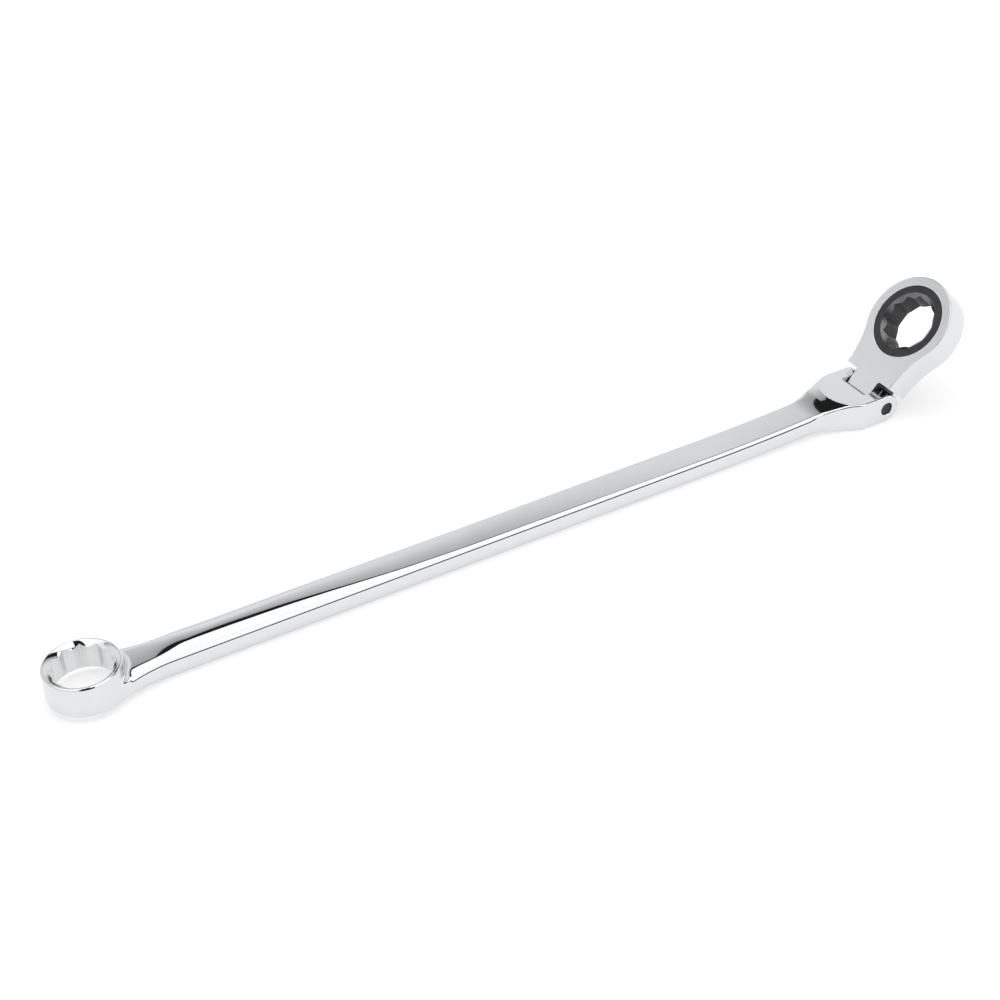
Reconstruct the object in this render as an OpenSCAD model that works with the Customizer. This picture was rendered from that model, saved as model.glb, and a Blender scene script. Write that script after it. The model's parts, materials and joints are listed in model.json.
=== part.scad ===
// Double box wrench: one plain forged box end, one ratcheting box end on a flexing head.
// +X runs from the fixed box to the hinge, +Z is up, and Y is the hinge pin's direction.
// The origin is the centre of the fixed box opening, on the plane that the wrench lies on.

/* [Overall] */
// Distance from the centre of the fixed box to the hinge pin
span = 397.5; // [200:0.5:600]
// Size of the hexagon that both openings turn, across its flats
hex_size = 24; // [22:1:24]
// Angle of the flex head, up from straight
flex_angle = 47; // [-90:1:90]

/* [Fixed box end] */
// Outside diameter of the fixed box
box_od = 33.6; // [32:0.1:36]
// Height of the fixed box's top face
box_h = 17.1; // [12:0.1:20]
// Height of its underside
box_low = 2.4; // [0.5:0.1:4]
// Bevel round the top of the fixed box
box_bevel = 0.9; // [0.3:0.1:1]
// Radius round the bottom of the fixed box
box_round = 1; // [0.5:0.1:2]
// Width of the flat land between the bevel and the lead-in, on both faces
box_land = 0.5; // [0.5:0.1:1.8]
// Slope of the lead-in, down from level
box_lead_angle = 38; // [30:1:60]
// Turn of the fixed opening's corners
box_clock = 15; // [0:1:29]

/* [Shank] */
// Diameter of the round bar before its top and bottom are flattened
bar_d = 18; // [14:0.1:20]
// Thickness over the two flats
bar_t = 9.8; // [8:0.1:12]
// Thickness where the bar leaves the fixed box
neck_t = 10.7; // [10:0.1:12]
// Thickness a little further on, where its top is least flattened
root_t = 12; // [10:0.1:13]
// Distance from the fixed box's centre to where that thickness starts to fall
root_run = 90; // [50:1:120]
// Distance from the fixed box's centre to where the bar is down to its full flats
taper_end = 165; // [130:1:220]
// Where the shank starts to climb to the clevis, measured back from the pin
climb_run = 97; // [60:1:150]
// Distance from the fixed box's centre to where the shank starts to widen into it
neck_run = 36; // [26:1:50]

/* [Clevis] */
// Width over both ears
clevis_w = 31.8; // [28:0.1:36]
// Thickness of the ears, and diameter of their round ends
clevis_t = 14.2; // [12:0.1:15]
// Width of the slot between the ears
slot_w = 17.1; // [15:0.1:19]
// Distance from the pin back to the slot's root
slot_depth = 8.3; // [8:0.1:10]
// Length of the curves that widen the shank into the clevis
flare_run = 28; // [20:1:40]
// Radius of the raised pad's curved edge
pad_r = 19; // [17:0.1:22]
// Distance from the pin back to the centre of that edge
pad_back = 5; // [3:0.1:6]
// Width of the slope from that edge down to the shank's flat
ramp_w = 7.5; // [4:0.5:12]

/* [Hinge] */
// Diameter of the hinge pin
pin_d = 6.5; // [5:0.1:7]
// How far each end of the pin sits below the ear's face
pin_recess = 0.8; // [0.2:0.1:2]
// Bevel round the mouth of each pin hole
pin_mouth = 0.45; // [0.1:0.05:0.8]
// Diameter of the ball that drags on the tang
ball_d = 4; // [3:0.1:4.5]
// Length of the friction spring
friction_spring_l = 9; // [7:0.1:10]

/* [Flex head] */
// Thickness of the head
head_t = 14.2; // [13:0.1:15]
// Outside diameter of the head
head_od = 46.4; // [45:0.1:50]
// Distance from the pin to the centre of the gear
head_reach = 39.8; // [38:0.1:44]
// Distance from the pin to the shoulders
shoulder_s = 8.1; // [8.1:0.1:9]
// Width over the shoulders
shoulder_w = 31.6; // [28:0.1:32]
// Width of the tang between the ears
tang_w = 16.8; // [14:0.1:18.5]
// Where the sides leave the shoulders and start to widen, from the pin
neck_s = 9; // [8:0.1:12]
// Bevel round the head's two rims
head_bevel = 0.6; // [0.3:0.1:1]

/* [Ratchet] */
// Number of teeth on the drive gear
gear_teeth = 72; // [60:12:84]
// Diameter over the teeth
gear_tip_d = 38.6; // [38:0.1:39]
// Depth of the teeth
tooth_h = 0.8; // [0.6:0.1:0.9]
// Diameter of the black face that shows on the front of the head
gear_face_d = 37; // [36:0.1:37.4]
// Turn of the gear opening's corners
gear_clock = 15; // [0:5:25]
// Diameter where the gear's lead-in starts
gear_lead_d = 29.8; // [28:0.1:32]
// How far the pawl draws back
pawl_travel = 0.95; // [0.8:0.05:1]

/* [Hidden] */
$fn = 96;
eps = 0.01;                             // overshoot of a cut past a face
sink = 0.2;                             // how far curved walls run into each other to join
seam_turn = 7;                          // turns each lead-in cone's seam away from the corners
neck_drop = 0.6;                        // how far the web's top lies below the bar's
rise_run = 12;                          // length over which the bar's top rises from the neck
neck_step = 0.1;                        // keeps the web's underside clear of the box's

pin_z = clevis_t / 2;                   // height of the pin above the plane it lies on
box_r = box_od / 2;
box_mid = (box_h + box_low) / 2;
box_half = (box_h - box_low) / 2;
bar_r = bar_d / 2;
lead_r = box_r - box_bevel - box_land;  // where the lead-in meets the land
ridge_r = hex_size / 2 / cos(15);       // inner corners of a twelve-point opening
corner_r = hex_size / 2 / cos(30);      // outer corners of a twelve-point opening
climb_x = span - climb_run;
flare_x = span - slot_depth - 6 - flare_run;
climb_l = flare_x + flare_run / 2 - climb_x;
climb_h = pin_z - bar_t / 2;
climb_r = (climb_l * climb_l + climb_h * climb_h) / (2 * climb_h);
pad_x = span - pad_back;
web_drop = (clevis_t - bar_t) / 2;      // depth of that slope

lip_t = 2.2;                            // head's front lip over the teeth
ring_t = 1.1;                           // thickness of the retaining ring
ring_inset = 0.85;                      // its depth below the back face
ring_gap_angle = 34;
bore_r = gear_tip_d / 2 + 0.1;          // head's main bore, which the teeth turn in
face_bore_r = gear_face_d / 2;          // front bore, which the gear's front journal turns in
journal_gap = 0.08;
groove_r = gear_tip_d / 2 + 1.3;        // bottom of the retaining ring's groove
gear_front = head_t / 2;
gear_back = -head_t / 2;
teeth_top = gear_front - lip_t - 0.1;
teeth_bottom = gear_back + ring_inset + ring_t + 0.25;

pocket_w = 12.4;                        // pawl pocket, across the head
pocket_h = 9.2;                         // pawl pocket, through the thickness
pocket_s = 14.2;                        // back wall of the pawl pocket, from the pin
pawl_w = 12.2;
pawl_h = 9;
pawl_back_s = pocket_s + pawl_travel + 0.25;
pawl_gap = 0.06;                        // gap left between the teeth in mesh
pawl_spring_d = 2.9;
pawl_spring_s = 10;                     // blind end of the pawl spring's bore
pawl_recess = 1.5;
pawl_spring_l = pawl_back_s + pawl_recess - pawl_spring_s - 0.1;

ball_s = head_t / 2 + ball_d / 2 + 0.03;     // ball's centre, from the pin, just off the tang
friction_bore_d = ball_d + 0.1;
friction_bore_l = ball_s - slot_depth + ball_d / 2 + friction_spring_l + 0.05;

// Twelve-point outline: two hexagons, one turned half a corner from the other.
module twelve_point(clock) {
    for (turn = [0, 30])
        rotate(clock + turn)
            circle(r = corner_r, $fn = 6);
}

// A bar's cross-section: a circle flattened at its top and bottom.
module bar_section() {
    intersection() {
        circle(r = bar_r);
        square([bar_t, bar_d + 2], center = true);
    }
}

// Side view of the shank's straight stretch. Its top rises out of the neck and then falls,
// and its underside drops from the box's to the level that the wrench lies on.
module side_profile() {
    web_low = box_low + neck_step;
    web_end = box_r - box_round - 3;
    polygon([[0, web_low], [web_end, web_low], [neck_run + 4, 0], [climb_x, 0],
             [climb_x, bar_t], [taper_end, bar_t], [root_run, root_t],
             [neck_run + rise_run / 2, root_t], [neck_run - rise_run / 2, neck_t],
             [0, neck_t]]);
}

// The shank: straight from the fixed box, then bent gently up to the clevis's mid-height.
module shank() {
    intersection() {
        union() {
            translate([0, 0, bar_t / 2])
                rotate([0, 90, 0])
                    cylinder(h = climb_x, r = bar_r);
            box_neck();
        }
        rotate([90, 0, 0])
            linear_extrude(box_od, center = true)
                side_profile();
    }
    translate([climb_x, 0, bar_t / 2 + climb_r])
        rotate([90, 0, 0])
            rotate(-90)
                rotate_extrude(angle = asin(climb_l / climb_r))
                    translate([climb_r, 0])
                        bar_section();
}

// Points of a quarter circle, as [radius, height], from the underside to the wall.
function bottom_round() = [
    for (a = [0 : 15 : 90])
        [box_r - box_round + box_round * sin(a), box_low + box_round - box_round * cos(a)]
];

module fixed_box() {
    rotate_extrude()
        polygon(concat([[0, box_low]], bottom_round(),
                       [[box_r, box_h - box_bevel], [box_r - box_bevel, box_h], [0, box_h]]));
}

// The twelve-point opening, with the same lead-in at its top and bottom.
module fixed_opening() {
    lead_h = lead_r * tan(box_lead_angle);
    linear_extrude(box_h + 1)
        twelve_point(box_clock);
    for (face = [0, 1])
        translate([0, 0, box_mid])
            mirror([0, 0, face])
                rotate(seam_turn) {
                    translate([0, 0, box_half - lead_h])
                        cylinder(h = lead_h, r1 = 0, r2 = lead_r);
                    translate([0, 0, box_half - eps])
                        cylinder(h = box_low, r = lead_r);
                }
}

// Plan of a web between a disc at the origin and straight sides that start at x = run.
// Its sides are arcs that meet both smoothly, sunk a little into the disc.
module waist(disc_r, half, run) {
    r = disc_r - sink;
    side_r = (run * run - r * r + half * half) / (2 * (r - half));
    touch_y = (half + side_r) * r / (r + side_r);
    difference() {
        translate([0, -touch_y])
            square([run, 2 * touch_y]);
        for (side = [-1, 1])
            translate([run, side * (half + side_r)])
                circle(r = side_r);
    }
}

// The web that widens the shank into the fixed box.
module box_neck() {
    translate([0, 0, -1])
        linear_extrude(neck_t - neck_drop + 1)
            waist(box_r, bar_r - 2 * sink, neck_run);
}

// Plan of the clevis: the shank widens along an arc until it is as wide as the ears.
module clevis_plan() {
    half = bar_r - 2 * sink;
    rise = clevis_w / 2 - half;
    flare_r = (flare_run * flare_run + rise * rise) / (2 * rise);
    difference() {
        translate([flare_x, -clevis_w / 2])
            square([span - flare_x, clevis_w]);
        intersection() {
            for (side = [-1, 1])
                translate([flare_x, side * (half + flare_r)])
                    circle(r = flare_r);
            translate([flare_x - 1, -clevis_w])
                square([flare_run + 1, 2 * clevis_w]);
        }
    }
}

// Side view of the raised pad, from its centre out to the foot of its sloping edge.
module pad_profile() {
    foot_r = pad_r + ramp_w;
    polygon([[0, 0], [pad_r, 0], [foot_r, web_drop], [foot_r, clevis_t - web_drop],
             [pad_r, clevis_t], [0, clevis_t]]);
}

module clevis_block() {
    translate([0, 0, web_drop])
        linear_extrude(bar_t)
            clevis_plan();
    intersection() {
        linear_extrude(clevis_t)
            clevis_plan();
        translate([pad_x, 0, 0])
            rotate_extrude()
                pad_profile();
    }
    translate([span, 0, pin_z])
        rotate([90, 0, 0])
            cylinder(h = clevis_w, r = clevis_t / 2, center = true);
}

module clevis_cuts() {
    translate([span - slot_depth, -slot_w / 2, -1])
        cube([slot_depth + clevis_t, slot_w, clevis_t + 2]);
    translate([span, 0, pin_z])
        rotate([90, 0, 0])
            cylinder(h = clevis_w + 2, r = pin_d / 2, center = true);
    for (side = [-1, 1])
        translate([span, side * clevis_w / 2, pin_z])
            rotate([side * 90, 0, 0])
                cylinder(h = 2 * pin_mouth, r1 = pin_d / 2 + 2 * pin_mouth, r2 = pin_d / 2,
                         center = true);
    translate([span - slot_depth + eps, 0, pin_z])
        rotate([0, -90, 0])
            cylinder(h = friction_bore_l, r = friction_bore_d / 2);
}

// The forging: fixed box, shank and clevis in one piece.
module beam() {
    color([0.80, 0.81, 0.82])
        difference() {
            union() {
                fixed_box();
                shank();
                clevis_block();
            }
            fixed_opening();
            clevis_cuts();
        }
}

module hinge_pin() {
    pin_l = clevis_w - 2 * pin_recess;
    bevel = 0.4;
    color([0.22, 0.22, 0.23])
        translate([span, 0, pin_z])
            rotate([90, 0, 0])
                rotate_extrude()
                    polygon([[0, -pin_l / 2], [pin_d / 2 - bevel, -pin_l / 2],
                             [pin_d / 2, -pin_l / 2 + bevel], [pin_d / 2, pin_l / 2 - bevel],
                             [pin_d / 2 - bevel, pin_l / 2], [0, pin_l / 2]]);
}

module friction_ball() {
    color([0.70, 0.70, 0.72])
        translate([span - ball_s, 0, pin_z])
            sphere(d = ball_d);
}

// A coil spring along +Z, from height 0 to its full length.
module coil_spring(outer_d, wire_d, length, turns) {
    sides = 6;
    steps = 16;
    count = turns * steps;
    coil_r = (outer_d - wire_d) / 2;
    climb = (length - wire_d) / count;
    points = [
        for (i = [0 : count], k = [0 : sides - 1])
            let (a = i * 360 / steps, b = k * 360 / sides, r = coil_r + wire_d / 2 * cos(b))
                [r * cos(a), r * sin(a), wire_d / 2 + i * climb + wire_d / 2 * sin(b)]
    ];
    walls = [
        for (i = [0 : count - 1], k = [0 : sides - 1])
            let (n = (k + 1) % sides)
                [i * sides + k, (i + 1) * sides + k, (i + 1) * sides + n, i * sides + n]
    ];
    start = [for (k = [0 : sides - 1]) k];
    finish = [for (k = [sides - 1 : -1 : 0]) count * sides + k];
    polyhedron(points, concat(walls, [start], [finish]));
}

module friction_spring() {
    wire = 0.5;
    color([0.62, 0.62, 0.63])
        translate([span - ball_s - ball_d / 2 - 0.02, 0, pin_z])
            rotate([0, -90, 0])
                coil_spring(ball_d - 0.3, wire, friction_spring_l, 7);
}

// Carries its children from the head's own frame, where the pin is the origin,
// +X runs to the gear and +Z leaves the front face, to the head's place at rest.
module at_head() {
    translate([span, 0, pin_z])
        rotate([0, -flex_angle, 0])
            children();
}

module head_disc() {
    r = head_od / 2;
    h = head_t / 2;
    translate([head_reach, 0, 0])
        rotate_extrude()
            polygon([[0, -h], [r - head_bevel, -h], [r, head_bevel - h],
                     [r, h - head_bevel], [r - head_bevel, h], [0, h]]);
}

// Web between the shoulders and the disc.
module head_neck() {
    half = shoulder_w / 2;
    linear_extrude(head_t, center = true) {
        translate([head_reach, 0])
            mirror([1, 0])
                waist(head_od / 2, half, head_reach - neck_s);
        translate([shoulder_s, -half])
            square([neck_s - shoulder_s + eps, shoulder_w]);
    }
}

module tang() {
    translate([0, -tang_w / 2, -head_t / 2])
        cube([shoulder_s + 1, tang_w, head_t]);
    rotate([90, 0, 0])
        cylinder(h = tang_w, r = head_t / 2, center = true);
}

module gear_seat() {
    translate([head_reach, 0, 0]) {
        cylinder(h = head_t, r = face_bore_r);
        translate([0, 0, -head_t])
            cylinder(h = head_t + gear_front - lip_t, r = bore_r);
        translate([0, 0, gear_back + ring_inset])
            cylinder(h = ring_t + 0.1, r = groove_r);
    }
}

module pawl_pocket() {
    translate([pocket_s, -pocket_w / 2, -pocket_h / 2])
        cube([head_reach - pocket_s, pocket_w, pocket_h]);
    translate([pawl_spring_s, 0, 0])
        rotate([0, 90, 0])
            cylinder(h = pocket_s, r = pawl_spring_d / 2 + 0.15);
}

module flex_head() {
    color([0.80, 0.81, 0.82])
        at_head()
            difference() {
                union() {
                    head_disc();
                    head_neck();
                    tang();
                }
                gear_seat();
                pawl_pocket();
                rotate([90, 0, 0])
                    cylinder(h = clevis_w, r = pin_d / 2 + 0.05, center = true);
            }
}

// Outline of the toothed gear, grown outwards by a gap where it is used as a cutter.
module toothed(gap) {
    tip_r = gear_tip_d / 2 + gap;
    root_r = tip_r - tooth_h;
    pitch = 360 / gear_teeth;
    polygon([
        for (i = [0 : gear_teeth - 1], corner = [[-0.42, root_r], [-0.07, tip_r],
                                                 [0.07, tip_r], [0.42, root_r]])
            let (a = (i + corner[0]) * pitch + 180)
                [corner[1] * cos(a), corner[1] * sin(a)]
    ]);
}

module drive_gear() {
    journal_r = face_bore_r - journal_gap;
    lead_h = (gear_lead_d / 2 - ridge_r + 0.5) * tan(40);
    color([0.13, 0.13, 0.14])
        at_head()
            translate([head_reach, 0, 0])
                difference() {
                    union() {
                        translate([0, 0, gear_back])
                            cylinder(h = head_t, r = journal_r);
                        translate([0, 0, teeth_bottom])
                            linear_extrude(teeth_top - teeth_bottom)
                                toothed(0);
                    }
                    translate([0, 0, -head_t])
                        linear_extrude(2 * head_t)
                            twelve_point(gear_clock);
                    for (face = [0, 1])
                        mirror([0, 0, face])
                            rotate(seam_turn)
                                translate([0, 0, gear_front - lead_h])
                                    cylinder(h = lead_h + eps, r1 = ridge_r - 0.5,
                                             r2 = gear_lead_d / 2);
                }
}

module retaining_ring() {
    color([0.45, 0.45, 0.46])
        at_head()
            translate([head_reach, 0, gear_back + ring_inset + 0.05])
                rotate(ring_gap_angle / 2)
                    rotate_extrude(angle = 360 - ring_gap_angle)
                        translate([bore_r - 0.6, 0])
                            square([groove_r - 0.1 - bore_r + 0.6, ring_t]);
}

module pawl() {
    color([0.55, 0.55, 0.56])
        at_head()
            difference() {
                translate([0, 0, -pawl_h / 2])
                    linear_extrude(pawl_h)
                        difference() {
                            translate([pawl_back_s, -pawl_w / 2])
                                square([head_reach - pawl_back_s - gear_tip_d / 2 + tooth_h + 1,
                                        pawl_w]);
                            translate([head_reach, 0])
                                toothed(pawl_gap);
                        }
                translate([pawl_back_s - eps, 0, 0])
                    rotate([0, 90, 0])
                        cylinder(h = pawl_recess, r = pawl_spring_d / 2 + 0.15);
            }
}

module pawl_spring() {
    wire = 0.4;
    color([0.62, 0.62, 0.63])
        at_head()
            translate([pawl_spring_s + 0.05, 0, 0])
                rotate([0, 90, 0])
                    coil_spring(pawl_spring_d, wire, pawl_spring_l, 6);
}

beam();
hinge_pin();
friction_ball();
friction_spring();
flex_head();
drive_gear();
retaining_ring();
pawl();
pawl_spring();
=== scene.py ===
"""Flex-head ratcheting box wrench: the looks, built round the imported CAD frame.

Each piece's skin is found from a formula: a field that is negative inside the steel and
positive outside it, in millimetres. contour() turns a field into a closed mesh with crisp
edges, and shades it with the field's own slope, so that the polished faces reflect cleanly.
Turned parts and coils come from lathe() and tube(). Everything is placed from the frame.
"""

import json
import math

import bpy
import numpy as np
from mathutils import Matrix, Quaternion, Vector


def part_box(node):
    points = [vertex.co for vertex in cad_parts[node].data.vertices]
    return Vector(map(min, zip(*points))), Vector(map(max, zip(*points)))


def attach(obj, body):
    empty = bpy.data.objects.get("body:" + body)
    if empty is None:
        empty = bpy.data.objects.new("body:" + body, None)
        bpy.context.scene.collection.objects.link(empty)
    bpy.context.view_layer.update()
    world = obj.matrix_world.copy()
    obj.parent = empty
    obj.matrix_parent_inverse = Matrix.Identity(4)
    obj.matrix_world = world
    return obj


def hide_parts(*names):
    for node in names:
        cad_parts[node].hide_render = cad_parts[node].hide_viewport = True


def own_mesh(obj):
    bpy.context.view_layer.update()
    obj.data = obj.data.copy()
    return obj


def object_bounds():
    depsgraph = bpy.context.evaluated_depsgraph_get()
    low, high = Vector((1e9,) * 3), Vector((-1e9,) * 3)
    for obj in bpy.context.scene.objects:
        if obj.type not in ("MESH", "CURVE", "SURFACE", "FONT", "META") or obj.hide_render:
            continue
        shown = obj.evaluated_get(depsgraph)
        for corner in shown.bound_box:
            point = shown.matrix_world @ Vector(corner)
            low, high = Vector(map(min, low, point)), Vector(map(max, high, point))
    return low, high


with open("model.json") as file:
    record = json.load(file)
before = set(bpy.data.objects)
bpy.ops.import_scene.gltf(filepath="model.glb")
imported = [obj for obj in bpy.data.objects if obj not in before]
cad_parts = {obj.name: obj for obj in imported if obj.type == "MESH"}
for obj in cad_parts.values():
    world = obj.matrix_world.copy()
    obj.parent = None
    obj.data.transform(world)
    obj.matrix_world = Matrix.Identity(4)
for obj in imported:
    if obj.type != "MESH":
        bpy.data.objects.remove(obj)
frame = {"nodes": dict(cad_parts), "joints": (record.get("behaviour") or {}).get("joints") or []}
cad_low, cad_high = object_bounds()

MM = 0.001


# ---------------------------------------------------------------- places from the frame

def joint(name):
    """The frame's record of a joint."""
    return next(j for j in frame["joints"] if j["name"] == name)


def box_mm(node):
    """Lowest and highest corner of a CAD node, in millimetres."""
    low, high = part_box(node)
    return np.array(low) / MM, np.array(high) / MM


PIN = np.array(joint("head_flex")["pos_m"]) / MM
GEAR = np.array(joint("gear_spin")["pos_m"]) / MM
SPAN, PIN_Z = PIN[0], PIN[2]
REACH = float(np.linalg.norm(GEAR - PIN))
HEAD_X = (GEAR - PIN) / REACH
HEAD_Z = np.array([-HEAD_X[2], 0.0, HEAD_X[0]])

beam_low, beam_high = box_mm("beam")
BOX_R = -beam_low[0]
BOX_H = beam_high[2]
EAR_R = beam_high[0] - SPAN
HEAD_R = box_mm("flex_head")[1][1]
PIN_HALF = box_mm("hinge_pin")[1][1]

# ---------------------------------------------------------------- sizes, in millimetres

COS_30 = math.cos(math.radians(30))
TAN_30 = math.tan(math.radians(30))

HEX = 24.0                   # hexagon that both openings turn, across its flats
CLOCK = 15                   # turn of the openings' first corner from the wrench's length
CORNER_R = HEX / 2 / COS_30
CORNER_ROUND = 0.35          # rounding in the openings' corners
RIDGE_ROUND = 0.5            # rounding on the ridges between them

BAR_R = 9.0                  # the shank's round bar, before it is flattened
BAR_HALF = 8.8               # its half width where the two ends' flares start
BAR_T = 4.9                  # from the bar's axis to its flats
CLIMB_X = SPAN - 97          # where the shank starts to climb to the clevis
NECK_X = 36.0                # where the shank starts to widen into the fixed box
BOX_LOW = 2.4                # height of the fixed box's underside
BOX_MOUTH = BOX_R - 1.35     # where the lead-in starts, on both faces
BOX_SLOPE = 28               # the lead-in's slope at its mouth, in degrees
BOX_BEND = 0.082             # how fast it steepens further in
CLEVIS_HALF = 15.9
FLARE_X = SPAN - 42.3        # where the shank starts to widen into the clevis
FLARE_RUN = 28.0
PAD_X = SPAN - 5             # centre of the raised pad's curved edge
PAD_R = 19.0
RAMP_W = 7.5                 # width of the slope round the raised pad
SLOT_HALF = 8.55
SLOT_X = SPAN - 8.3          # root of the slot
PIN_R = 3.25
BALL_R = 2.0

HEAD_HALF = 7.1              # half thickness of the head
SHOULDER_S = 8.1             # from the pin out to the shoulders
SHOULDER_HALF = 15.8
NECK_S = 9.0                 # from the pin out to where the head starts to widen
TANG_HALF = 8.4
GEAR_FACE_R = 18.5
GEAR_MOUTH = 14.9            # where the gear's lead-in starts, on both faces
GEAR_SLOPE = 40
BORE_R = 19.4                # the seat behind the front lip
LIP_T = 2.2
GROOVE_R = 20.6              # the snap ring's groove
RING_T = 1.1
RING_INSET = 0.85
POCKET_S = 14.2              # from the pin out to the pawl's pocket
POCKET_HALF_W = 6.2
POCKET_HALF_T = 4.6
SPRING_BORE_R = 1.6          # the pawl spring's bore, and the cup in the pawl
SPRING_FLOOR = 10.0          # from the pin out to that bore's floor
CUP_DEPTH = 1.5

# ---------------------------------------------------------------- field building


def cut(a, b, r=0.0):
    """Where both fields are inside, with the edge between them rounded to radius r."""
    round_off = np.hypot(np.maximum(a + r, 0), np.maximum(b + r, 0))
    return np.minimum(-r, np.maximum(a, b)) + round_off


def join(a, b, r=0.0):
    """Where either field is inside, with a fillet of radius r between them."""
    return -cut(-a, -b, r)


def smooth_profile(stations, sigma):
    """Function of x through (x, value) stations, with its corners eased over about sigma."""
    step = 0.25
    at, value = zip(*stations)
    xs = np.arange(at[0] - 4 * sigma, at[-1] + 4 * sigma, step)
    reach = int(3 * sigma / step)
    bell = np.exp(-0.5 * (np.arange(-reach, reach + 1) * step / sigma) ** 2)
    eased = np.convolve(np.pad(np.interp(xs, at, value), reach, mode="edge"),
                        bell / bell.sum(), mode="valid")
    return lambda x: np.interp(x, xs, eased)


def hexagon(x, y, clock):
    """Signed distance of the hexagon with a corner at angle clock, corners rounded."""
    turn = math.radians(clock + 30)
    px = np.abs(x * math.cos(turn) + y * math.sin(turn))
    py = np.abs(y * math.cos(turn) - x * math.sin(turn))
    half = HEX / 2 - CORNER_ROUND
    lean = 2 * np.minimum(-COS_30 * px + 0.5 * py, 0)
    px, py = px + COS_30 * lean, py - 0.5 * lean
    px = px - np.clip(px, -half * TAN_30, half * TAN_30)
    py = py - half
    return np.hypot(px, py) * np.sign(py) - CORNER_ROUND


def twelve_point(x, y):
    """The twelve-point opening's space: two hexagons, half a corner apart."""
    return join(hexagon(x, y, CLOCK), hexagon(x, y, CLOCK + 30), RIDGE_ROUND)


def lead_in(r, depth, mouth_r, slope, bend=0.0):
    """Funnel-shaped space that leads into an opening; depth is measured down from the face.
    Its slope is given at the mouth, in degrees, and bend steepens it further in."""
    rise = math.tan(math.radians(slope))
    inward = mouth_r - r
    further = np.maximum(inward, 0)
    return (depth - rise * inward - bend * further**2) / np.hypot(1, rise + 2 * bend * further)


def waist_half(x, half, run, disc_r):
    """Half width of a web that widens towards a disc at x = 0, and where it touches it."""
    side = (run * run - disc_r * disc_r + half * half) / (2 * (disc_r - half))
    width = half + side - np.sqrt(np.maximum(side**2 - np.clip(run - x, 0, side) ** 2, 0))
    return width, run * disc_r / (disc_r + side)


# ---------------------------------------------------------------- the forging

FLARE_RISE = CLEVIS_HALF - BAR_HALF
FLARE_R = (FLARE_RUN**2 + FLARE_RISE**2) / (2 * FLARE_RISE)
flare_half = smooth_profile(
    [(x, BAR_HALF + FLARE_R - math.sqrt(FLARE_R**2 - max(x - FLARE_X, 0) ** 2))
     for x in np.arange(FLARE_X - 10, FLARE_X + FLARE_RUN, 0.5)]
    + [(FLARE_X + FLARE_RUN, CLEVIS_HALF)], 1.6)
CLIMB_L = FLARE_X + FLARE_RUN / 2 - CLIMB_X
CLIMB_R = (CLIMB_L**2 + (PIN_Z - BAR_T) ** 2) / (2 * (PIN_Z - BAR_T))
top_cut = smooth_profile(
    [(0, 5.6), (30, 5.9), (41, 7.2), (60, 7.0), (90, 6.75), (110, 6.3), (145, 5.35),
     (175, BAR_T), (400, BAR_T)], 2.5)
bottom_cut = smooth_profile(
    [(0, BAR_T - BOX_LOW), (13, BAR_T - BOX_LOW), (35, BAR_T), (400, BAR_T)], 3)
edge_round = smooth_profile(
    [(0, 1.6), (28, 1.6), (36, 1.3), (44, 1.6), (57, 2.4), (100, 2.0), (141, 1.3), (201, 0.9),
     (243, 0.6), (300, 0.45), (400, 0.5)], 4)
crown = smooth_profile(
    [(0, 0.003), (28, 0.005), (33, 0.014), (37, 0.022), (44, 0.022), (57, 0.015),
     (100, 0.012), (141, 0.008), (201, 0.004), (243, 0.002), (300, 0.0008), (400, 0.0004)], 3)


def centre_z(x):
    """Height of the bar's axis: level, then up an arc to the clevis."""
    run = np.clip(x - CLIMB_X, 0, CLIMB_L)
    return BAR_T + CLIMB_R - np.sqrt(CLIMB_R**2 - run**2)


def shank_half(x):
    """Half width of the bar along its length, from the fixed box to the clevis."""
    neck, _ = waist_half(x, BAR_HALF, NECK_X, BOX_R - 0.2)
    return np.where(x < NECK_X, neck, flare_half(x)) + BAR_R - BAR_HALF


def shank_field(x, y, z):
    """A round bar with flats above and below, which fade towards the fixed box."""
    lift = z - centre_z(x)
    bar = np.hypot(y * BAR_R / shank_half(x), lift) - BAR_R
    dome = crown(x) * y * y / 2
    bar = cut(bar, lift + dome - top_cut(x), edge_round(x))
    return cut(bar, -lift - bottom_cut(x), 0.6)


def fixed_end(x, y, z, shank):
    """The fixed box grown out of the shank, before its opening is cut."""
    r = np.hypot(x, y)
    middle, half = (BOX_H + BOX_LOW) / 2, (BOX_H - BOX_LOW) / 2
    barrel = BOX_R - 0.3 * ((z - middle) / half) ** 2
    ring = cut(cut(r - barrel, z - BOX_H, 1.1), BOX_LOW - z, 0.8)
    neck, touch_x = waist_half(x, BAR_HALF, NECK_X, BOX_R - 0.2)
    plan = np.where(x < touch_x, r - BOX_R, np.abs(y) - neck - 0.21)
    grown = join(ring, np.maximum(shank, 2 - x), 3.0)
    return np.maximum(grown, np.maximum(plan, BAR_T - bottom_cut(x) - z))


def fixed_opening(x, y, z):
    """The fixed box's opening, with a lead-in at both faces."""
    r = np.hypot(x, y)
    upper = lead_in(r, BOX_H - z, BOX_MOUTH, BOX_SLOPE, BOX_BEND)
    lower = lead_in(r, z - BOX_LOW, BOX_MOUTH, BOX_SLOPE, BOX_BEND)
    return np.minimum(np.minimum(twelve_point(x, y), upper), lower)


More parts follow.
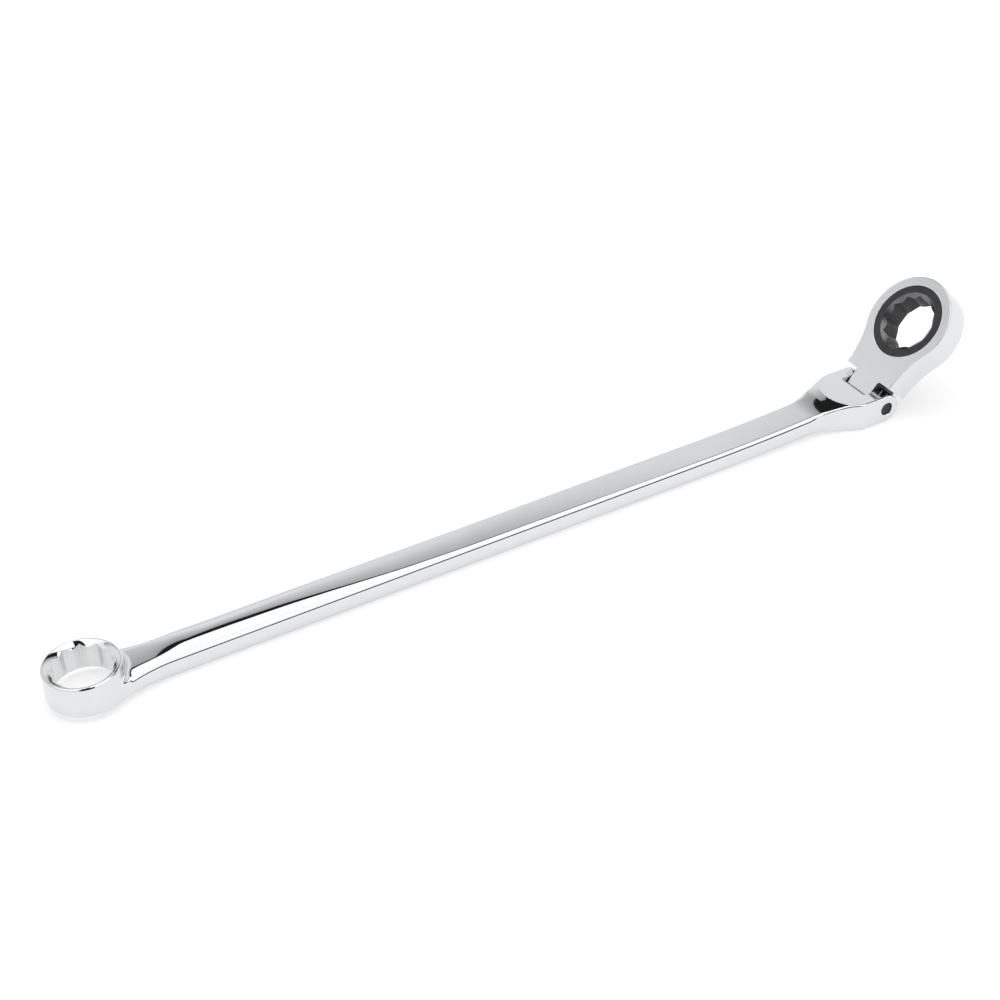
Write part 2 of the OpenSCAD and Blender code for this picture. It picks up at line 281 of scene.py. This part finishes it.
def clevis(x, y, z, shank):
    """The two-eared end, blended out of the shank."""
    tall = np.abs(z - centre_z(x))
    plan = (np.abs(y) - shank_half(x)) * 0.93
    flat = np.hypot(np.maximum(x - SPAN, 0), tall) - EAR_R
    rho = np.hypot(x - PAD_X, y)
    ramp_slope = (EAR_R - BAR_T) / RAMP_W
    ramp = (tall - EAR_R + (rho - PAD_R) * ramp_slope) / math.hypot(1, ramp_slope)
    block = cut(plan, np.maximum(flat, join(ramp, tall - BAR_T, 3)), 0.9)
    share = np.clip((x - FLARE_X) / 16, 0, 1)
    share = share * share * (3 - 2 * share)
    return shank * (1 - share) + block * share


def clevis_spaces(x, y, z):
    """The slot, the pin's holes and the friction ball's bore."""
    slot = cut(np.abs(y) - SLOT_HALF, SLOT_X - x, 0.8)
    hole = np.hypot(x - SPAN, z - PIN_Z) - PIN_R
    ball_bore = cut(np.hypot(y, z - PIN_Z) - BALL_R - 0.05,
                    cut(x - SLOT_X - 1, SLOT_X - 11.9 - x))
    return slot, hole, ball_bore


def beam_field(x, y, z):
    """The whole forging, measured from the fixed box's centre."""
    shank = shank_field(x, y, z)
    body = np.where(x < 60, fixed_end(x, y, z, shank), clevis(x, y, z, shank))
    body = cut(body, -fixed_opening(x, y, z), 0.12)
    slot, hole, ball_bore = clevis_spaces(x, y, z)
    body = cut(body, -slot, 0.35)
    body = cut(body, -hole, 0.4)
    return np.maximum(body, -ball_bore)


# ---------------------------------------------------------------- the head and the ratchet

def head_plan(s, y):
    """Outline of the head seen square on: a disc with a web that narrows to the shoulders."""
    run = REACH - NECK_S
    neck, touch = waist_half(REACH - s, SHOULDER_HALF, run, HEAD_R)
    disc = np.hypot(s - REACH, y) - HEAD_R
    return np.where(s > REACH - touch, disc, (np.abs(y) - neck) * 0.95)


def head_field(s, y, h):
    """The head's housing: s runs from the pin to the gear and h towards the front face."""
    barrel = 0.0035 * (h - 3.5) ** 2
    outline = cut(head_plan(s, y) + barrel, SHOULDER_S - s, 0.35)
    body = cut(cut(outline, h - HEAD_HALF, 0.4), -h - HEAD_HALF, 1.0)
    tip = np.hypot(np.minimum(s, 0), h) - HEAD_HALF
    tang = cut(cut(np.abs(y) - TANG_HALF, tip, 0.7), s - SHOULDER_S - 3)
    body = np.maximum(join(body, tang, 0.5), np.abs(h) - HEAD_HALF)
    r = np.hypot(s - REACH, y)
    seat = np.minimum(cut(r - GEAR_FACE_R, -h), cut(r - BORE_R, h - HEAD_HALF + LIP_T))
    ring_floor = RING_INSET - HEAD_HALF
    groove = cut(r - GROOVE_R, cut(h - ring_floor - RING_T - 0.1, ring_floor - h))
    pocket = cut(cut(np.abs(y) - POCKET_HALF_W, np.abs(h) - POCKET_HALF_T),
                 cut(POCKET_S - s, s - REACH))
    spring_bore = cut(np.hypot(y, h) - SPRING_BORE_R, cut(SPRING_FLOOR - s, s - POCKET_S - 0.8))
    hole = np.hypot(s, h) - PIN_R - 0.05
    body = cut(body, -seat, 0.3)
    for space in (groove, pocket, spring_bore, hole):
        body = np.maximum(body, -space)
    return body


TEETH = 72
TIP_R = 19.3
TOOTH_H = 0.8
TEETH_LOW, TEETH_HIGH = -4.9, 4.8


def toothed(s, y, gap):
    """Distance from the toothed outline, grown by a gap where it is used as a cutter."""
    r = np.hypot(s, y)
    turn = np.arctan2(y, s) * TEETH / (2 * math.pi)
    part = np.abs(turn - np.round(turn))
    rise = np.clip((0.42 - part) / 0.35, 0, 1)
    return (r - TIP_R + TOOTH_H - gap - TOOTH_H * rise) * 0.75


def gear_field(s, y, h):
    """The gear ring, measured from its own centre."""
    r = np.hypot(s, y)
    core = cut(r - GEAR_FACE_R + 0.08, np.abs(h) - HEAD_HALF, 0.35)
    teeth = cut(toothed(s, y, 0), cut(h - TEETH_HIGH, TEETH_LOW - h))
    funnel = lead_in(r, HEAD_HALF - np.abs(h), GEAR_MOUTH, GEAR_SLOPE)
    space = np.minimum(twelve_point(s, y), funnel)
    return cut(np.minimum(core, teeth), -space, 0.15)


PAWL_S = 15.4                # from the pin out to the pawl's back


def pawl_field(s, y, h):
    """The pawl: a block with a cup for its spring and teeth that fit the gear's."""
    sides = cut(np.abs(y) - POCKET_HALF_W + 0.1, np.abs(h) - POCKET_HALF_T + 0.1, 0.4)
    block = cut(sides, PAWL_S - s, 0.4)
    cup = cut(np.hypot(y, h) - SPRING_BORE_R, s - PAWL_S - CUP_DEPTH)
    teeth = toothed(s - REACH, y, 0.06)
    return np.maximum(np.maximum(block, -cup), cut(-teeth, s - REACH, 0))


# ---------------------------------------------------------------- meshing


def slope_of(field, p):
    """Unit outward direction of a field at points p, and its steepness."""
    h = 0.004
    g = np.stack([field(*(p + h * e).T) - field(*(p - h * e).T) for e in np.eye(3)], axis=1)
    g /= 2 * h
    size = np.linalg.norm(g, axis=1)
    return g / np.maximum(size, 1e-9)[:, None], size


def crossings(field, grid, axes, axis):
    """Grid edges along one axis that the surface crosses: their index and where."""
    lower = [slice(None)] * 3
    upper = [slice(None)] * 3
    lower[axis], upper[axis] = slice(None, -1), slice(1, None)
    a, b = grid[tuple(lower)], grid[tuple(upper)]
    index = np.argwhere((a < 0) != (b < 0))
    fa, fb = a[tuple(index.T)], b[tuple(index.T)]
    start = np.stack([axes[k][index[:, k]] for k in range(3)], axis=1)
    end = start.copy()
    end[:, axis] = axes[axis][index[:, axis] + 1]
    lo, hi = start.copy(), end.copy()
    for _ in range(3):
        share = fa / (fa - fb)
        p = lo + (hi - lo) * share[:, None]
        fp = field(*p.T)
        same = (fp < 0) == (fa < 0)
        lo[same], fa = p[same], np.where(same, fp, fa)
        hi[~same], fb = p[~same], np.where(same, fb, fp)
    return index, p, fa < fb


def contour(field, axes):
    """Points and quads of the closed surface where a field is zero (dual contouring)."""
    grid = field(*np.meshgrid(*axes, indexing="ij"))
    shape = [len(a) - 1 for a in axes]
    cells, hits, rings = [], [], []
    for axis in range(3):
        index, p, outward = crossings(field, grid, axes, axis)
        u, v = (axis + 1) % 3, (axis + 2) % 3
        quad = []
        for du, dv in ((-1, -1), (0, -1), (0, 0), (-1, 0)):
            c = index.copy()
            c[:, u] += du
            c[:, v] += dv
            quad.append((c[:, 0] * shape[1] + c[:, 1]) * shape[2] + c[:, 2])
        quad = np.stack(quad, axis=1)
        rings.append(np.where(outward[:, None], quad, quad[:, ::-1]))
        cells.append(quad.ravel())
        hits.append(np.repeat(p, 4, axis=0))
    hits = np.concatenate(hits)
    names, cell = np.unique(np.concatenate(cells), return_inverse=True)
    normal, _ = slope_of(field, hits)
    count = np.bincount(cell).astype(float)

    def total(values):
        return np.bincount(cell, weights=values, minlength=len(names))

    middle = np.stack([total(hits[:, k]) for k in range(3)], axis=1) / count[:, None]
    flatness = np.stack([total(normal[:, k]) for k in range(3)], axis=1) / count[:, None]
    offset = np.einsum("ij,ij->i", normal, hits - middle[cell])
    ata = np.empty((len(names), 3, 3))
    atb = np.empty((len(names), 3))
    for i in range(3):
        atb[:, i] = total(normal[:, i] * offset)
        for j in range(3):
            ata[:, i, j] = total(normal[:, i] * normal[:, j])
    ata += np.eye(3) * 0.03
    points = middle + np.linalg.solve(ata, atb[:, :, None])[:, :, 0]
    corner = np.stack(np.unravel_index(names, shape), axis=1)
    low = np.stack([axes[k][corner[:, k]] for k in range(3)], axis=1)
    high = np.stack([axes[k][corner[:, k] + 1] for k in range(3)], axis=1)
    points = np.clip(points, low, high)
    smooth = np.linalg.norm(flatness, axis=1) > 0.96
    for _ in range(2):
        direction, size = slope_of(field, points[smooth])
        step = field(*points[smooth].T) / np.maximum(size, 0.3)
        points[smooth] -= direction * np.clip(step, -0.1, 0.1)[:, None]
    quads = np.searchsorted(names, np.concatenate(rings))
    return points, quads, smooth


def corner_normals(field, points, quads, smooth):
    """One normal per face corner: the field's slope, taken inside the face at a crease."""
    direction, _ = slope_of(field, points)
    normals = direction[quads]
    crease = ~smooth[quads]
    centre = points[quads].mean(axis=1, keepdims=True)
    inner = points[quads] + 0.4 * (centre - points[quads])
    normals[crease], _ = slope_of(field, inner[crease])
    return normals.reshape(-1, 3)


def spaced(*runs):
    """Grid lines over several (start, end, step) runs that follow on."""
    lines = []
    for start, end, step in runs:
        count = max(1, round((end - start) / step))
        lines.append(np.linspace(start, end, count, endpoint=False))
    return np.concatenate(lines + [[runs[-1][1]]])


def to_frame(points, origin=None, x_axis=None, z_axis=None):
    """Carries points, in mm, from a piece's own axes to the frame, in metres."""
    if origin is None:
        return points * MM
    turn = np.array([x_axis, [0, 1, 0], z_axis])
    return (points @ turn + origin) * MM


def new_object(name, points, faces, materials):
    """A smooth-shaded object, linked to the scene."""
    mesh = bpy.data.meshes.new(name)
    mesh.from_pydata(points.tolist(), [], [list(map(int, f)) for f in faces])
    for material in materials:
        mesh.materials.append(material)
    obj = bpy.data.objects.new(name, mesh)
    bpy.context.scene.collection.objects.link(obj)
    mesh.polygons.foreach_set("use_smooth", [True] * len(mesh.polygons))
    return obj


def skin(name, field, axes, materials, place=(None, None, None), zone=None):
    """A piece whose surface is a field's. zone picks each face's material by its centre."""
    points, quads, smooth = contour(field, axes)
    normals = corner_normals(field, points, quads, smooth)
    obj = new_object(name, to_frame(points, *place), quads, materials)
    if zone is not None:
        index = zone(points[quads].mean(axis=1)).astype(np.int32)
        obj.data.polygons.foreach_set("material_index", index)
    origin, x_axis, z_axis = place
    if origin is not None:
        normals = normals @ np.array([x_axis, [0, 1, 0], z_axis])
    obj.data.normals_split_custom_set(normals.tolist())
    obj.data.update()
    return obj


HEAD_PLACE = (PIN, HEAD_X, HEAD_Z)
GEAR_PLACE = (GEAR, HEAD_X, HEAD_Z)


def lathe(name, outline, steps, materials):
    """A turned part: an outline of (radius, height) points spun about Z, closed on the axis."""
    points = [(0, 0, outline[0][1])]
    for r, h in outline:
        for i in range(steps):
            a = 2 * math.pi * i / steps
            points.append((r * math.cos(a), r * math.sin(a), h))
    points.append((0, 0, outline[-1][1]))
    faces = []
    last = len(points) - 1
    for i in range(steps):
        n = (i + 1) % steps
        faces.append((0, 1 + n, 1 + i))
        for k in range(len(outline) - 1):
            a, b = 1 + k * steps, 1 + (k + 1) * steps
            faces.append((a + i, a + n, b + n, b + i))
        top = 1 + (len(outline) - 1) * steps
        faces.append((last, top + i, top + n))
    return new_object(name, np.array(points, float), faces, materials)


def tube(name, path, section, materials):
    """A closed sweep of a section, given as (sideways, upwards) points, along a path."""
    path = np.array(path, float)
    ahead = np.gradient(path, axis=0)
    ahead /= np.linalg.norm(ahead, axis=1)[:, None]
    up = np.array([0.0, 0.0, 1.0])
    side = np.cross(ahead, up)
    side /= np.linalg.norm(side, axis=1)[:, None]
    lift = np.cross(side, ahead)
    k = len(section)
    points = np.concatenate([path[i] + np.outer([s[0] for s in section], side[i])
                             + np.outer([s[1] for s in section], lift[i])
                             for i in range(len(path))])
    faces = [(i * k + j, i * k + (j + 1) % k, (i + 1) * k + (j + 1) % k, (i + 1) * k + j)
             for i in range(len(path) - 1) for j in range(k)]
    faces.append(tuple(range(k - 1, -1, -1)))
    faces.append(tuple((len(path) - 1) * k + j for j in range(k)))
    return new_object(name, points, faces, materials)


def coil(name, outer_r, wire_r, length, turns, materials):
    """A compression spring along +Z with its end turns closed."""
    steps, sides, closed = 28, 10, 0.9
    section = [(wire_r * math.cos(2 * math.pi * j / sides),
                wire_r * math.sin(2 * math.pi * j / sides)) for j in range(sides)]
    path = []
    for i in range(turns * steps + 1):
        turn = i / steps
        run = np.interp(turn, [0, closed, turns - closed, turns],
                        [wire_r, 3.1 * wire_r, length - 3.1 * wire_r, length - wire_r])
        a = 2 * math.pi * turn
        reach = outer_r - wire_r
        path.append((reach * math.cos(a), reach * math.sin(a), run))
    return tube(name, path, section, materials)


def put(obj, origin, z_axis, x_axis):
    """Carries a piece made about its own +Z, in mm, to its place in the frame."""
    z_axis, x_axis = Vector(z_axis), Vector(x_axis)
    turn = Matrix([x_axis, z_axis.cross(x_axis), z_axis]).transposed().to_4x4()
    obj.data.transform(Matrix.Translation(Vector(origin) * MM) @ turn @ Matrix.Scale(MM, 4))
    obj.data.update()
    return obj


def crisp(obj, angle=32):
    """Smooth shading that breaks at edges sharper than an angle."""
    obj.data.set_sharp_from_angle(angle=math.radians(angle))
    return obj


# ---------------------------------------------------------------- materials


def metal(name, colour, roughness, grain, grain_scale, patch=0.0, metallic=1.0):
    """A metal whose colour and roughness drift a little, with a fine grain in its surface."""
    material = bpy.data.materials.new(name)
    material.use_nodes = True
    nodes, links = material.node_tree.nodes, material.node_tree.links
    shader = nodes["Principled BSDF"]
    shader.inputs["Metallic"].default_value = metallic
    place = nodes.new("ShaderNodeTexCoord")

    def noise(scale, detail):
        n = nodes.new("ShaderNodeTexNoise")
        n.inputs["Scale"].default_value = scale
        n.inputs["Detail"].default_value = detail
        links.new(place.outputs["Object"], n.inputs["Vector"])
        return n.outputs["Fac"]

    ramp = nodes.new("ShaderNodeValToRGB")
    ramp.color_ramp.elements[0].position = 0.3
    ramp.color_ramp.elements[1].position = 0.7
    dim = [c * (1 - patch) for c in colour]
    ramp.color_ramp.elements[0].color = (*dim, 1)
    ramp.color_ramp.elements[1].color = (*colour, 1)
    links.new(noise(120, 4), ramp.inputs["Fac"])
    links.new(ramp.outputs["Color"], shader.inputs["Base Color"])
    gloss = nodes.new("ShaderNodeMapRange")
    gloss.inputs["To Min"].default_value = roughness[0]
    gloss.inputs["To Max"].default_value = roughness[1]
    links.new(noise(grain_scale * 0.2, 3), gloss.inputs["Value"])
    links.new(gloss.outputs["Result"], shader.inputs["Roughness"])
    bump = nodes.new("ShaderNodeBump")
    bump.inputs["Distance"].default_value = grain * MM
    bump.inputs["Strength"].default_value = 1.0
    links.new(noise(grain_scale, 6), bump.inputs["Height"])
    links.new(bump.outputs["Normal"], shader.inputs["Normal"])
    return material


CHROME = metal("polished_chrome", (0.74, 0.745, 0.755), (0.03, 0.07), 0.0006, 700, 0.02)
SATIN = metal("satin_chrome", (0.77, 0.775, 0.785), (0.16, 0.24), 0.002, 1500, 0.03)
BROACHED = metal("broached_chrome", (0.72, 0.725, 0.73), (0.12, 0.2), 0.006, 1100, 0.06)
# Near-black painted shade, put on the slot's root and on the tang between the ears, where shade
# falls.
SLOT_AND_TANG_SHADE = metal("painted_slot_and_tang_shade", (0.07, 0.07, 0.072), (0.30, 0.42), 0.008, 1300, 0.2)
# Painted sheen: a lighter oxide that stands in for the reflection on the gear's lead-in.
LEAD_IN_SHEEN = metal("lead_in_painted_sheen", (0.20, 0.20, 0.205), (0.22, 0.32), 0.006, 1500, 0.25)
BLACK = metal("black_oxide", (0.050, 0.050, 0.053), (0.38, 0.52), 0.006, 1800, 0.2, 0.75)
# A dark colour over the whole pin.
PIN_STEEL = metal("dark_pin_colour", (0.060, 0.060, 0.062), (0.30, 0.45), 0.01, 1500, 0.25, 0.85)
SPRING = metal("spring_steel", (0.52, 0.52, 0.53), (0.22, 0.34), 0.002, 2500, 0.1)
BEARING = metal("bearing_steel", (0.78, 0.78, 0.79), (0.08, 0.14), 0.001, 2000, 0.05)

# ---------------------------------------------------------------- pieces


def finish_and_shade_of_beam(p):
    """Broached inside the opening, near-black painted shade at the slot's root, polished
    elsewhere.
    """
    r = np.hypot(p[:, 0], p[:, 1])
    inside = fixed_opening(*p.T) > twelve_point(p[:, 0], p[:, 1]) - 0.02
    # The slot's root face gets the near-black painted shade.
    slot = (np.abs(p[:, 1]) < SLOT_HALF + 0.02) & (np.abs(p[:, 0] - SLOT_X) < 0.3)
    return np.where(slot, 2, np.where(inside & (r < CORNER_R + 0.3), 1, 0))


def finish_and_shade_of_head(p):
    """Satin on the two faces and inside, near-black painted shade on the tang between the ears,
    polished round the side.
    """
    face = np.abs(p[:, 2]) > HEAD_HALF - 0.05
    inside = np.hypot(p[:, 0] - REACH, p[:, 1]) < GROOVE_R + 0.1
    # The tang's sides and tip, between the ears, get the near-black painted shade.
    tang = (p[:, 0] < SHOULDER_S) & (np.abs(p[:, 1]) < TANG_HALF + 0.1) & ~face
    return np.where(tang, 2, np.where(face | inside, 1, 0))


def finish_and_sheen_of_gear(p):
    """Lighter oxide on the lead-in, a painted sheen standing in for its reflection; black
    elsewhere.
    """
    r = np.hypot(p[:, 0], p[:, 1])
    slant = lead_in(r, HEAD_HALF - np.abs(p[:, 2]), GEAR_MOUTH, GEAR_SLOPE)
    # The lead-in's faces get the lighter painted sheen.
    return np.where((np.abs(slant) < 0.04) & (r < GEAR_MOUTH - 0.1), 1, 0)


FINE = 0.32

beam = skin(
    "beam_forging", beam_field,
    [spaced((-17.03, 52, FINE), (52, 64, 1), (64, 345, 2.5), (345, 352, 1), (352, 405.1, FINE)),
     spaced((-16.9, 16.93, FINE)),
     spaced((-0.33, 17.5, FINE))],
    [CHROME, BROACHED, SLOT_AND_TANG_SHADE], zone=finish_and_shade_of_beam)
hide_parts("beam")
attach(beam, "beam")

head = skin(
    "head_housing", head_field,
    [spaced((-7.43, REACH + HEAD_R + 0.41, FINE)),
     spaced((-23.3, 23.37, FINE)),
     spaced((-7.42, 7.51, FINE))],
    [CHROME, SATIN, SLOT_AND_TANG_SHADE], HEAD_PLACE, finish_and_shade_of_head)
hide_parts("flex_head")
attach(head, "head")

gear = skin(
    "gear_ring", gear_field,
    [spaced((-19.6, 19.63, FINE * 0.9)), spaced((-19.6, 19.63, FINE * 0.9)),
     spaced((-7.43, 7.5, FINE))],
    [BLACK, LEAD_IN_SHEEN], GEAR_PLACE, finish_and_sheen_of_gear)
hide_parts("drive_gear")
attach(gear, "gear")

pawl = skin(
    "pawl_block", pawl_field,
    [spaced((PAWL_S - 0.31, REACH - 17.0, 0.17)), spaced((-6.3, 6.33, 0.17)),
     spaced((-4.73, 4.7, 0.3))],
    [BEARING], HEAD_PLACE)
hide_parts("pawl")
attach(pawl, "pawl")

# Radius and depth of one end of the pin: a dimple, a flat and a rounded edge.
PIN_END = [(1.1, 0.35), (1.5, 0.12), (1.9, 0.0), (2.75, 0.0), (3.05, 0.1), (3.2, 0.3),
           (PIN_R, 0.6)]
pin_outline = [(r, h - PIN_HALF) for r, h in PIN_END]
pin_outline += [(r, PIN_HALF - h) for r, h in reversed(PIN_END)]
pin = crisp(lathe("pin_rod", pin_outline, 72, [PIN_STEEL]))
put(pin, PIN, (0, -1, 0), (1, 0, 0))
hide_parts("hinge_pin")
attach(pin, "beam")


def snap_ring():
    """The retaining ring: a flat band with a gap, its corners broken."""
    inner, outer = BORE_R - 0.6, GROOVE_R - 0.1
    half_w, half_t, edge = (outer - inner) / 2, RING_T / 2, 0.15
    corners = [(-1, -1), (1, -1), (1, 1), (-1, 1)]
    section = []
    for sx, sy in corners:
        along = (sx * (half_w - edge), sy * half_t)
        across = (sx * half_w, sy * (half_t - edge))
        section += [along, across] if sx * sy > 0 else [across, along]
    section = section[::-1]
    gap = math.radians(17)
    turns = np.linspace(gap, 2 * math.pi - gap, 120)
    mid = (inner + outer) / 2
    path = [(mid * math.cos(a), mid * math.sin(a), 0) for a in turns]
    return tube("snap_ring", path, section, [SPRING])


ring_at = GEAR + HEAD_Z * (RING_INSET + 0.05 + RING_T / 2 - HEAD_HALF)
ring = crisp(put(snap_ring(), ring_at, HEAD_Z, HEAD_X))
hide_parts("retaining_ring")
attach(ring, "head")

pawl_spring_l = PAWL_S + CUP_DEPTH - SPRING_FLOOR - 0.1
pawl_spring_at = PIN + HEAD_X * (SPRING_FLOOR + 0.05)
pawl_spring = put(coil("pawl_coil", 1.45, 0.2, pawl_spring_l, 7, [SPRING]),
                  pawl_spring_at, HEAD_X, HEAD_Z)
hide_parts("pawl_spring")
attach(pawl_spring, "head")
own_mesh(pawl_spring)

friction_at = PIN - np.array([HEAD_HALF + 2 * BALL_R + 0.05, 0, 0])
friction_spring = put(coil("friction_coil", 1.85, 0.25, 9, 8, [SPRING]),
                      friction_at, (-1, 0, 0), (0, 0, 1))
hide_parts("friction_spring")
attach(friction_spring, "beam")

ball = frame["nodes"]["friction_ball"]
ball.data.materials.clear()
ball.data.materials.append(BEARING)
ball.data.polygons.foreach_set("use_smooth", [True] * len(ball.data.polygons))

# ---------------------------------------------------------------- studio

CENTRE = Vector(((cad_low.x + cad_high.x) / 2, 0, 0))


def glow():
    """The cards' light: each point of a card carries its own strength."""
    material = bpy.data.materials.new("card_light")
    material.use_nodes = True
    nodes, links = material.node_tree.nodes, material.node_tree.links
    nodes.clear()
    strength = nodes.new("ShaderNodeAttribute")
    strength.attribute_name = "strength"
    light = nodes.new("ShaderNodeEmission")
    out = nodes.new("ShaderNodeOutputMaterial")
    links.new(strength.outputs["Fac"], light.inputs["Strength"])
    links.new(light.outputs[0], out.inputs["Surface"])
    return material


def card(name, material, bearing, stops, radius=2.5):
    """A curved light card: part of a dome between two bearings, with a strength at each of
    several elevations, given as (elevation, strength)."""
    across, up = 16, 12
    heights, strengths = zip(*stops)
    points, glows = [], []
    for j in range(up + 1):
        height = heights[0] + (heights[-1] - heights[0]) * j / up
        e = math.radians(height)
        for i in range(across + 1):
            a = math.radians(bearing[0] + (bearing[1] - bearing[0]) * i / across)
            points.append((CENTRE.x + radius * math.cos(e) * math.cos(a),
                           radius * math.cos(e) * math.sin(a), radius * math.sin(e)))
            glows.append(float(np.interp(height, heights, strengths)))
    w = across + 1
    faces = [(j * w + i, j * w + i + 1, (j + 1) * w + i + 1, (j + 1) * w + i)
             for j in range(up) for i in range(across)]
    obj = new_object(name, np.array(points), faces, [material])
    obj.data.attributes.new("strength", "FLOAT", "POINT").data.foreach_set("value", glows)
    obj.visible_camera = False
    return obj


def studio():
    """Light cards round the wrench, a pale floor, a soft lamp above and a pale backdrop."""
    light = glow()
    card("back_card", light, (-20, 160),
         [(1, 0.5), (6, 0.8), (14, 0.95), (28, 0.98), (34, 0.9), (38, 0.68), (42, 0.5),
          (45, 0.42)])
    card("left_card", light, (160, 235), [(4, 0.95), (50, 1.1)])
    card("front_card", light, (-86, -22), [(6, 1.3), (56, 1.35)])
    card("top_card_right", light, (-100, 110), [(57, 1.4), (90, 1.4)])
    card("top_card_left", light, (110, 220), [(46, 1.3), (90, 1.4)])

    floor_material = bpy.data.materials.new("pale_floor")
    floor_material.use_nodes = True
    shader = floor_material.node_tree.nodes["Principled BSDF"]
    shader.inputs["Base Color"].default_value = (0.42, 0.42, 0.42, 1)
    shader.inputs["Emission Color"].default_value = (1, 1, 1, 1)
    shader.inputs["Emission Strength"].default_value = 0.58
    shader.inputs["Roughness"].default_value = 0.9
    shader.inputs["Specular IOR Level"].default_value = 0.1
    size = 12.0
    corners = np.array([(-size, -size, 0), (size, -size, 0), (size, size, 0), (-size, size, 0)])
    floor = new_object("floor", corners - [0, 0, 0.0002], [(0, 1, 2, 3)], [floor_material])

    lamp = bpy.data.lights.new("overhead", "AREA")
    lamp.shape = "DISK"
    lamp.size = 3.0
    lamp.energy = 30
    overhead = bpy.data.objects.new("overhead", lamp)
    overhead.location = CENTRE + Vector((0, 0, 2.2))
    overhead.visible_glossy = False
    overhead.visible_camera = False
    bpy.context.scene.collection.objects.link(overhead)

    world = bpy.data.worlds.new("studio")
    world.use_nodes = True
    nodes, links = world.node_tree.nodes, world.node_tree.links
    nodes.clear()
    pale = nodes.new("ShaderNodeBackground")
    pale.inputs["Color"].default_value = (0.95, 0.95, 0.95, 1)
    dark = nodes.new("ShaderNodeBackground")
    dark.inputs["Color"].default_value = (0.015, 0.015, 0.016, 1)
    ray = nodes.new("ShaderNodeLightPath")
    mix = nodes.new("ShaderNodeMixShader")
    out = nodes.new("ShaderNodeOutputWorld")
    links.new(ray.outputs["Is Camera Ray"], mix.inputs[0])
    links.new(dark.outputs[0], mix.inputs[1])
    links.new(pale.outputs[0], mix.inputs[2])
    links.new(mix.outputs[0], out.inputs["Surface"])
    bpy.context.scene.world = world
    bpy.context.scene.view_settings.view_transform = "Standard"


def camera():
    """Looks down on the wrench from beside the fixed box, with a long lens."""
    bearing, elevation, roll = math.radians(-28.38), math.radians(35.59), math.radians(-2.45)
    aim, distance = Vector((0.2050, 0.0217, 0.005)), 0.8399
    back = Vector((math.sin(bearing) * math.cos(elevation),
                   -math.cos(bearing) * math.cos(elevation), math.sin(elevation)))
    data = bpy.data.cameras.new("camera")
    data.sensor_width = 36
    data.lens = 66.48
    data.clip_start = 0.01
    data.clip_end = 100
    obj = bpy.data.objects.new("camera", data)
    obj.rotation_mode = "QUATERNION"
    obj.location = aim + back * distance
    obj.rotation_quaternion = (-back).to_track_quat("-Z", "Y") @ Quaternion((0, 0, 1), roll)
    bpy.context.scene.collection.objects.link(obj)
    bpy.context.scene.camera = obj


studio()
camera()
